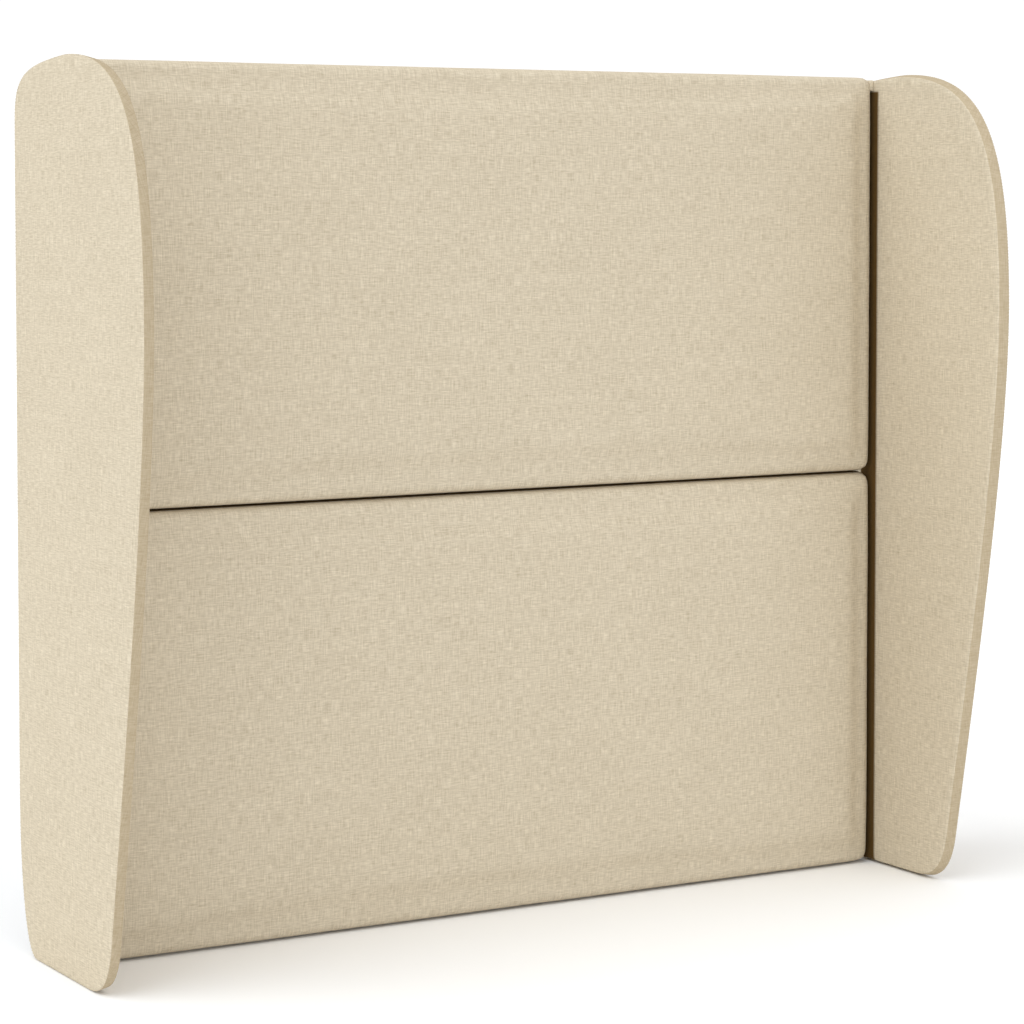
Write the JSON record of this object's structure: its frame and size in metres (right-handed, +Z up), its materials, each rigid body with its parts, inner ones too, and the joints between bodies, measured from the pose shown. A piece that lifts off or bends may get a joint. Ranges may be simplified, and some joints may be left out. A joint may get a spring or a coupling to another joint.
{
  "type": "winged upholstered headboard",
  "caption": "Floor-standing upholstered bed headboard: padded back panels one above the other between thin padded D-shaped wings, with struts and angle brackets behind.",
  "frame": {"origin": "on the floor, midway between the wings and midway along the wings' depth", "axes": "+Z up, -Y the way the headboard faces into the room, +X to its left as it faces"},
  "size_m": [1.586, 0.501, 1.411],
  "materials": {
    "linen": "matte",
    "foam": "matte",
    "dust_cloth": "matte",
    "plywood": "matte",
    "pine": "matte",
    "bracket_steel": "satin",
    "staple_steel": "satin",
    "fastener_steel": "satin"
  },
  "bodies": {
    "root": {"bracket_left_1": "bracket_steel", "bracket_left_2": "bracket_steel", "bracket_left_3": "bracket_steel", "bracket_left_4": "bracket_steel", "bracket_panel_bolts": "fastener_steel", "bracket_right_1": "bracket_steel", "bracket_right_2": "bracket_steel", "bracket_right_3": "bracket_steel", "bracket_right_4": "bracket_steel", "bracket_washers": "fastener_steel", "bracket_wing_bolts": "fastener_steel", "groove_spacer_left": "linen", "groove_spacer_right": "linen", "leg_tee_nuts": "fastener_steel", "lower_bottom_rail": "pine", "lower_centre_stud": "pine", "lower_cover": "linen", "lower_dust_cloth": "dust_cloth", "lower_face_board": "plywood", "lower_foam": "foam", "lower_frame_screws": "fastener_steel", "lower_left_stile": "pine", "lower_left_stud": "pine", "lower_right_stile": "pine", "lower_right_stud": "pine", "lower_staples": "staple_steel", "lower_tee_nuts": "fastener_steel", "lower_top_rail": "pine", "strut_bolts": "fastener_steel", "strut_centre": "pine", "strut_left": "pine", "strut_right": "pine", "strut_washers": "fastener_steel", "upper_bottom_rail": "pine", "upper_centre_stud": "pine", "upper_cover": "linen", "upper_dust_cloth": "dust_cloth", "upper_face_board": "plywood", "upper_foam": "foam", "upper_frame_screws": "fastener_steel", "upper_left_stile": "pine", "upper_left_stud": "pine", "upper_right_stile": "pine", "upper_right_stud": "pine", "upper_staples": "staple_steel", "upper_tee_nuts": "fastener_steel", "upper_top_rail": "pine", "wing_left_board": "plywood", "wing_left_inner_cover": "linen", "wing_left_inner_foam": "foam", "wing_left_outer_cover": "linen", "wing_left_outer_foam": "foam", "wing_left_tee_nuts": "fastener_steel", "wing_right_board": "plywood", "wing_right_inner_cover": "linen", "wing_right_inner_foam": "foam", "wing_right_outer_cover": "linen", "wing_right_outer_foam": "foam", "wing_right_tee_nuts": "fastener_steel"}
  },
  "joints": []
}
